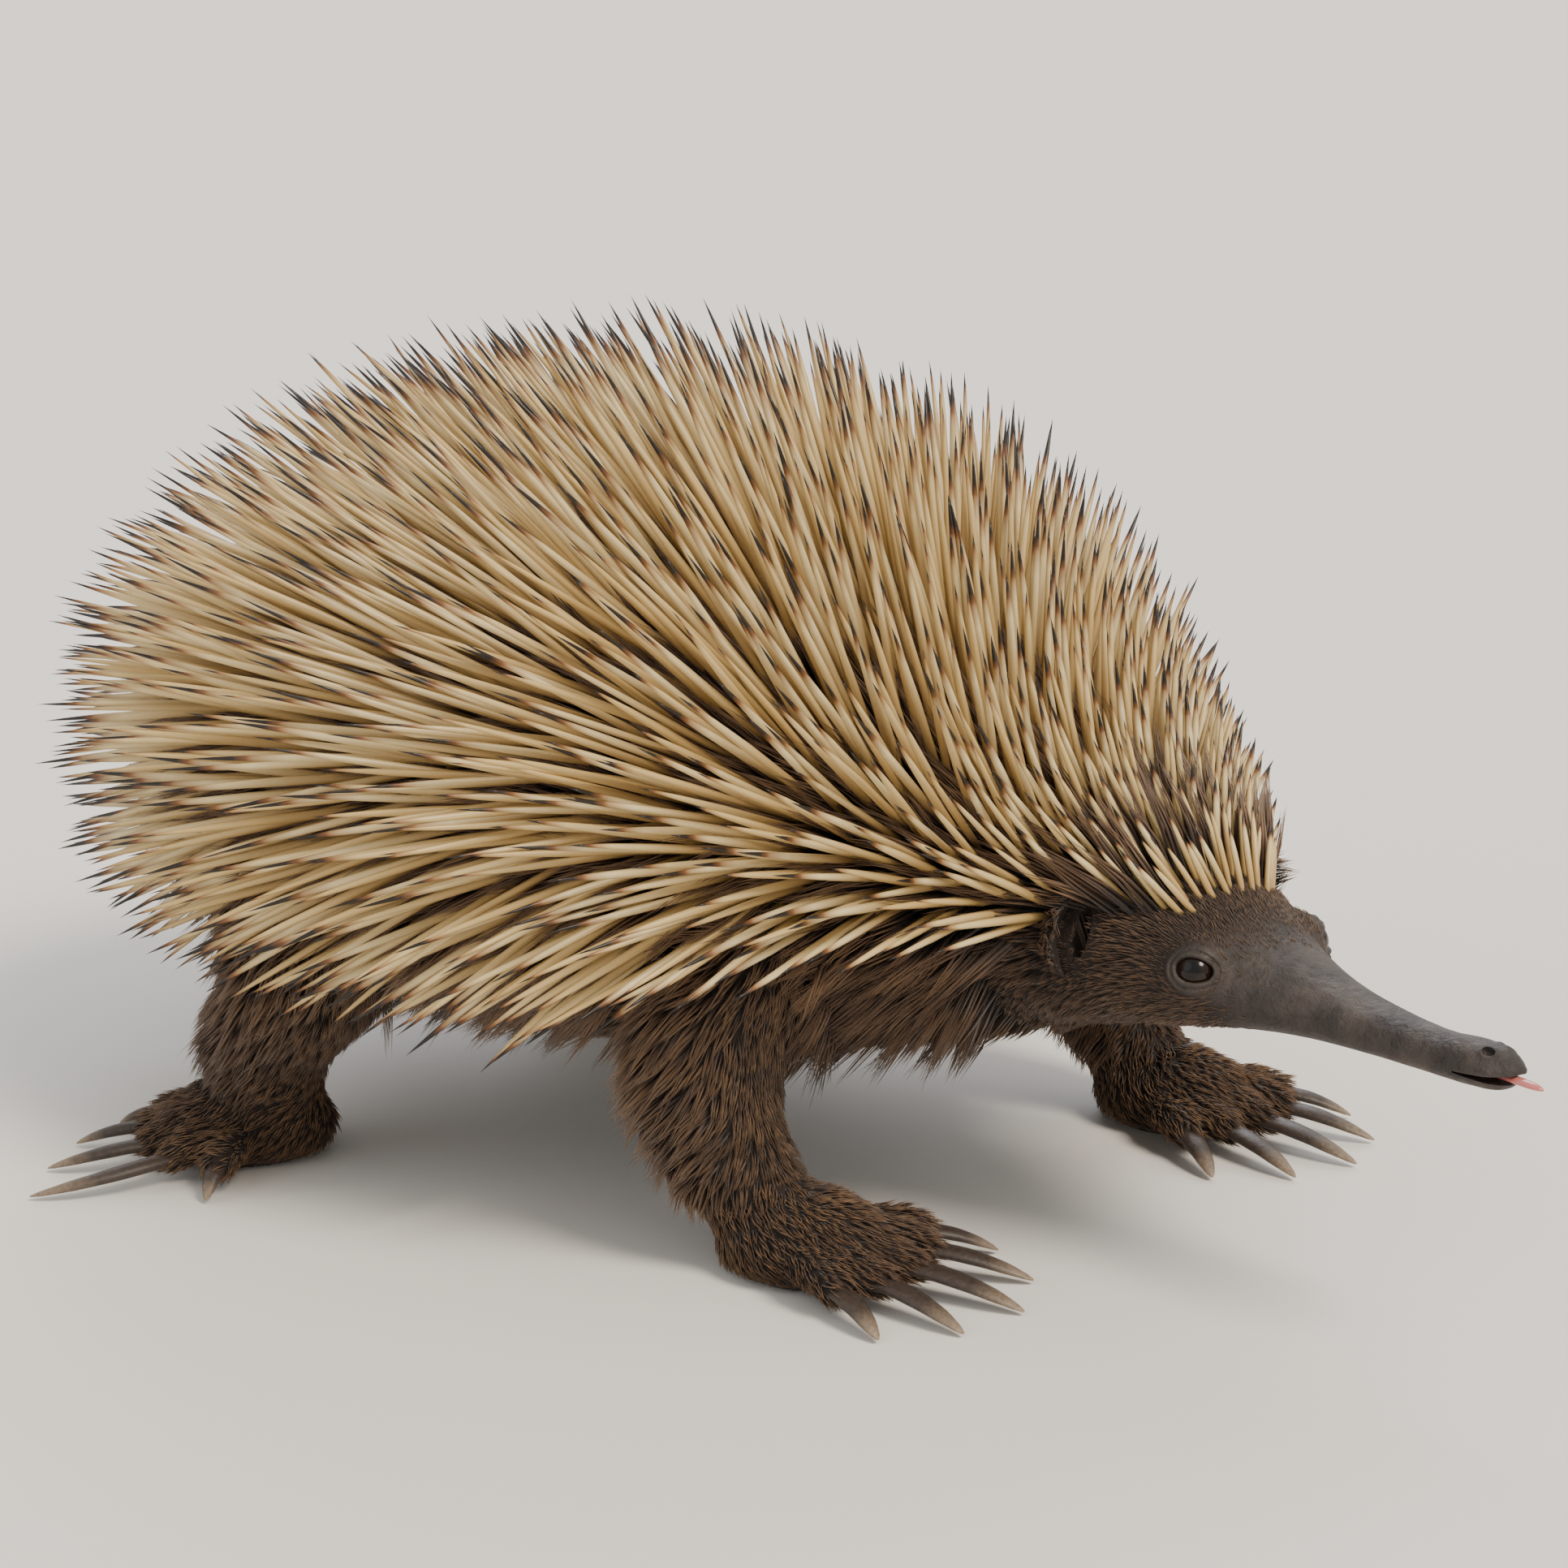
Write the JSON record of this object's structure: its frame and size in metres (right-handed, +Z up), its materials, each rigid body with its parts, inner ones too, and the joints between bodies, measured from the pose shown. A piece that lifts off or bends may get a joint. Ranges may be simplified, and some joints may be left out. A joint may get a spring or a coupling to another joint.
{
  "type": "short-beaked echidna model",
  "caption": "Life-size short-beaked echidna standing on four legs, with raised spines, a long bare snout and digging claws.",
  "frame": {"origin": "middle of the whole model's box, at the level of the floor it stands on", "axes": "+X forwards out of the snout, +Y to the animal's left, +Z up"},
  "size_m": [0.4738, 0.295, 0.2213],
  "materials": {
    "coat": "dark brown bristly hair with cream spines that are dark at the tips",
    "bare_snout": "bare, finely wrinkled blackish skin",
    "claws": "greyish brown horn, paler at the tips",
    "eyes": "wet, almost black",
    "tongue": "moist pink"
  },
  "bodies": {
    "root": {"ear_left": "coat", "ear_right": "coat", "eye_left": "eyes", "eye_right": "eyes", "front_claw_left_1": "claws", "front_claw_left_2": "claws", "front_claw_left_3": "claws", "front_claw_left_4": "claws", "front_claw_left_5": "claws", "front_claw_right_1": "claws", "front_claw_right_2": "claws", "front_claw_right_3": "claws", "front_claw_right_4": "claws", "front_claw_right_5": "claws", "front_foot_left": "coat", "front_foot_right": "coat", "front_leg_left": "coat", "front_leg_right": "coat", "head": "coat", "hind_claw_left_1": "claws", "hind_claw_left_2": "claws", "hind_claw_left_3": "claws", "hind_claw_left_4": "claws", "hind_claw_left_5": "claws", "hind_claw_right_1": "claws", "hind_claw_right_2": "claws", "hind_claw_right_3": "claws", "hind_claw_right_4": "claws", "hind_claw_right_5": "claws", "hind_foot_left": "coat", "hind_foot_right": "coat", "hind_leg_left": "coat", "hind_leg_right": "coat", "snout": "bare_snout", "tail": "coat", "tongue": "tongue", "torso": "coat"}
  },
  "joints": []
}
